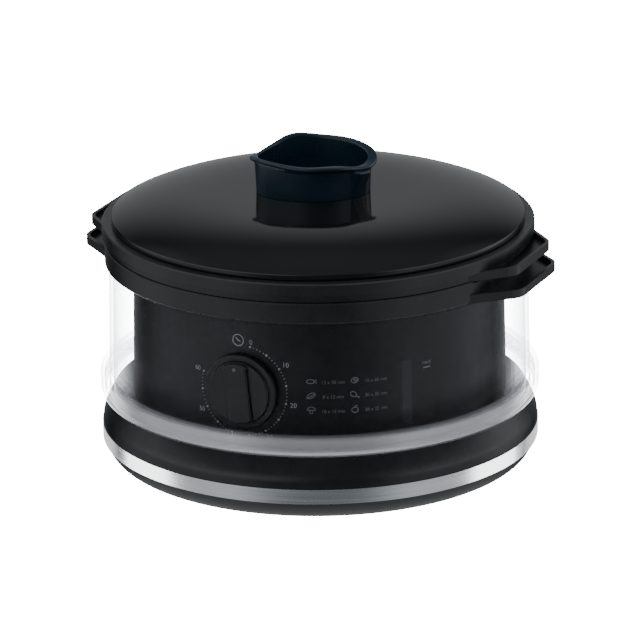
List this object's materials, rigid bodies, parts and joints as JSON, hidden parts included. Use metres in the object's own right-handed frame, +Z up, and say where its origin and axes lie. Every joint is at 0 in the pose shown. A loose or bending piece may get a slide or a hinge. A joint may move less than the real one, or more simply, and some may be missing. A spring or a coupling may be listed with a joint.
{
  "type": "electric food steamer",
  "caption": "Round electric food steamer with a clear bowl over its black tower, stacked grip trays, a domed lid and a timer knob.",
  "frame": {"origin": "centre of the base on the surface that it stands on", "axes": "+Z up, the timer knob faces -Y, the tray grips point along +X and -X"},
  "size_m": [0.282, 0.2618, 0.1918],
  "materials": {
    "housing_black": "gloss",
    "band_steel": "brushed round",
    "pan_grey": "satin",
    "foot_rubber": "matt",
    "screw_steel": "bright",
    "tank_grey": "satin",
    "seal_silicone": "matt",
    "heater_steel": "brushed",
    "element_steel": "dull",
    "thermostat_body": "matt",
    "fuse_body": "matt",
    "window_clear": "clear",
    "clock_plastic": "matt",
    "clock_brass": "satin",
    "clock_steel": "dull",
    "knob_black": "satin",
    "inlet_rubber": "matt",
    "clamp_nylon": "matt",
    "terminal_nylon": "matt",
    "wire_brown": "satin",
    "wire_blue": "satin",
    "wire_earth": "satin",
    "ring_plastic": "satin",
    "bowl_clear": "clear",
    "tray_black": "satin",
    "lid_black": "gloss",
    "handle_navy": "satin",
    "print_light": "matt"
  },
  "bodies": {
    "base": {"base_housing": "housing_black", "tower_housing": "housing_black", "trim_band": "band_steel", "bottom_cover": "pan_grey", "rubber_feet": "foot_rubber", "bottom_screws": "screw_steel", "water_tank": "tank_grey", "tank_seal": "seal_silicone", "heater_plate": "heater_steel", "heater_gasket": "seal_silicone", "heater_clamp_ring": "heater_steel", "heater_screws": "screw_steel", "heating_element": "element_steel", "thermostat": "thermostat_body", "thermal_fuse": "fuse_body", "level_window": "window_clear", "level_window_gasket": "seal_silicone", "timer_case": "clock_plastic", "timer_back_plate": "clock_steel", "timer_bracket": "clock_steel", "timer_screws": "screw_steel", "timer_mainspring": "clock_steel", "timer_bell": "clock_steel", "timer_switch": "terminal_nylon", "cord_inlet_bush": "inlet_rubber", "cord_clamp": "clamp_nylon", "cord_clamp_screws": "screw_steel", "terminal_block": "terminal_nylon", "live_wire": "wire_brown", "switched_wire": "wire_brown", "neutral_wire": "wire_blue", "earth_wire": "wire_earth"},
    "timer": {"timer_shaft": "clock_steel", "timer_knob": "knob_black", "timer_cam": "clock_plastic", "timer_gear": "clock_brass"},
    "steam_ring": {"steam_ring": "ring_plastic"},
    "bowl": {"steam_bowl": "bowl_clear"},
    "drip_tray": {"drip_tray": "tray_black"},
    "steam_tray": {"steam_tray": "tray_black"},
    "lid": {"lid_shell": "lid_black", "lid_handle": "handle_navy", "handle_washers": "screw_steel", "handle_screws": "screw_steel"}
  },
  "joints": [
    {"name": "timer_turn", "type": "hinge", "parent": "base", "child": "timer", "pos_m": [0, -0.11, 0.0734], "axis": [0, 1, 0], "range_deg": [0, 306]},
    {"name": "steam_ring_lift", "type": "slide", "parent": "base", "child": "steam_ring", "axis": [0, 0, 1], "range_m": [0, 0.045]},
    {"name": "bowl_lift", "type": "slide", "parent": "base", "child": "bowl", "axis": [0, 0, 1], "range_m": [0, 0.12]},
    {"name": "drip_tray_lift", "type": "slide", "parent": "bowl", "child": "drip_tray", "axis": [0, 0, 1], "range_m": [0, 0.08]},
    {"name": "steam_tray_lift", "type": "slide", "parent": "drip_tray", "child": "steam_tray", "axis": [0, 0, 1], "range_m": [0, 0.08]},
    {"name": "lid_lift", "type": "slide", "parent": "steam_tray", "child": "lid", "axis": [0, 0, 1], "range_m": [0, 0.08]}
  ]
}
